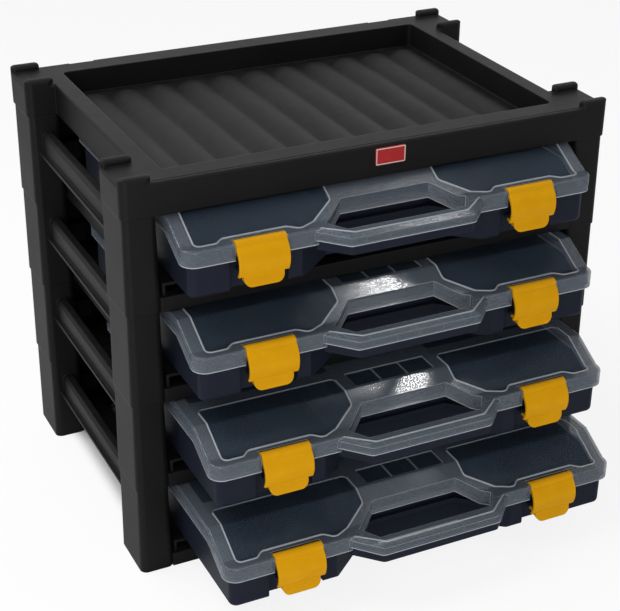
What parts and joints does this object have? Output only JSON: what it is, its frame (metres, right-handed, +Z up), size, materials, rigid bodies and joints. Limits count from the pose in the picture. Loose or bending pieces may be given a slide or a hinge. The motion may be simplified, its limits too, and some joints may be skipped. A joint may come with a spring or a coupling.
{
  "type": "compartment storage box",
  "caption": "Black stacking rack with a ribbed top tray, holding flat navy compartment cases with clear latched lids and carry handles that slide out to the front.",
  "frame": {"origin": "middle of the footprint on the surface the rack stands on, with the cases pulled out as they rest", "axes": "+X to the right, -Y to the front where the cases come out, +Z up"},
  "size_m": [0.45, 0.4366, 0.372],
  "materials": {
    "rack_black": "textured",
    "plate_red": "gloss",
    "case_navy": "satin",
    "lid_clear": "frosted",
    "latch_yellow": "satin",
    "pin_steel": "drawn"
  },
  "bodies": {
    "rack": {"top_tray": "rack_black", "name_plate": "plate_red", "back_sheet": "rack_black", "tier_frame_1": "rack_black", "tier_frame_2": "rack_black", "tier_frame_3": "rack_black", "tier_frame_4": "rack_black"},
    "case_1": {"case_base_1": "case_navy", "case_lid_1": "lid_clear", "latch_pin_left_1": "pin_steel", "hinge_pin_left_1": "pin_steel", "divider_left_1": "case_navy", "latch_pin_right_1": "pin_steel", "hinge_pin_right_1": "pin_steel", "divider_right_1": "case_navy"},
    "latch_left_1": {"latch_left_1": "latch_yellow"},
    "latch_right_1": {"latch_right_1": "latch_yellow"},
    "case_2": {"case_base_2": "case_navy", "case_lid_2": "lid_clear", "latch_pin_left_2": "pin_steel", "hinge_pin_left_2": "pin_steel", "divider_left_2": "case_navy", "latch_pin_right_2": "pin_steel", "hinge_pin_right_2": "pin_steel", "divider_right_2": "case_navy"},
    "latch_left_2": {"latch_left_2": "latch_yellow"},
    "latch_right_2": {"latch_right_2": "latch_yellow"},
    "case_3": {"case_base_3": "case_navy", "case_lid_3": "lid_clear", "latch_pin_left_3": "pin_steel", "hinge_pin_left_3": "pin_steel", "divider_left_3": "case_navy", "latch_pin_right_3": "pin_steel", "hinge_pin_right_3": "pin_steel", "divider_right_3": "case_navy"},
    "latch_left_3": {"latch_left_3": "latch_yellow"},
    "latch_right_3": {"latch_right_3": "latch_yellow"},
    "case_4": {"case_base_4": "case_navy", "case_lid_4": "lid_clear", "latch_pin_left_4": "pin_steel", "hinge_pin_left_4": "pin_steel", "divider_left_4": "case_navy", "latch_pin_right_4": "pin_steel", "hinge_pin_right_4": "pin_steel", "divider_right_4": "case_navy"},
    "latch_left_4": {"latch_left_4": "latch_yellow"},
    "latch_right_4": {"latch_right_4": "latch_yellow"}
  },
  "joints": [
    {"name": "case_slide_1", "type": "slide", "parent": "rack", "child": "case_1", "axis": [0, -1, 0], "range_m": [-0.0635, 0.1665]},
    {"name": "latch_left_swing_1", "type": "hinge", "parent": "case_1", "child": "latch_left_1", "pos_m": [-0.1243, -0.12005, 0.3185], "axis": [-1, 0, 0], "range_deg": [0, 105]},
    {"name": "latch_right_swing_1", "type": "hinge", "parent": "case_1", "child": "latch_right_1", "pos_m": [0.1243, -0.12005, 0.3185], "axis": [-1, 0, 0], "range_deg": [0, 105]},
    {"name": "case_slide_2", "type": "slide", "parent": "rack", "child": "case_2", "axis": [0, -1, 0], "range_m": [-0.081, 0.149]},
    {"name": "latch_left_swing_2", "type": "hinge", "parent": "case_2", "child": "latch_left_2", "pos_m": [-0.1243, -0.13755, 0.234], "axis": [-1, 0, 0], "range_deg": [0, 105]},
    {"name": "latch_right_swing_2", "type": "hinge", "parent": "case_2", "child": "latch_right_2", "pos_m": [0.1243, -0.13755, 0.234], "axis": [-1, 0, 0], "range_deg": [0, 105]},
    {"name": "case_slide_3", "type": "slide", "parent": "rack", "child": "case_3", "axis": [0, -1, 0], "range_m": [-0.11, 0.12]},
    {"name": "latch_left_swing_3", "type": "hinge", "parent": "case_3", "child": "latch_left_3", "pos_m": [-0.1243, -0.16655, 0.1495], "axis": [-1, 0, 0], "range_deg": [0, 105]},
    {"name": "latch_right_swing_3", "type": "hinge", "parent": "case_3", "child": "latch_right_3", "pos_m": [0.1243, -0.16655, 0.1495], "axis": [-1, 0, 0], "range_deg": [0, 105]},
    {"name": "case_slide_4", "type": "slide", "parent": "rack", "child": "case_4", "axis": [0, -1, 0], "range_m": [-0.135, 0.095]},
    {"name": "latch_left_swing_4", "type": "hinge", "parent": "case_4", "child": "latch_left_4", "pos_m": [-0.1243, -0.19155, 0.065], "axis": [-1, 0, 0], "range_deg": [0, 105]},
    {"name": "latch_right_swing_4", "type": "hinge", "parent": "case_4", "child": "latch_right_4", "pos_m": [0.1243, -0.19155, 0.065], "axis": [-1, 0, 0], "range_deg": [0, 105]}
  ]
}
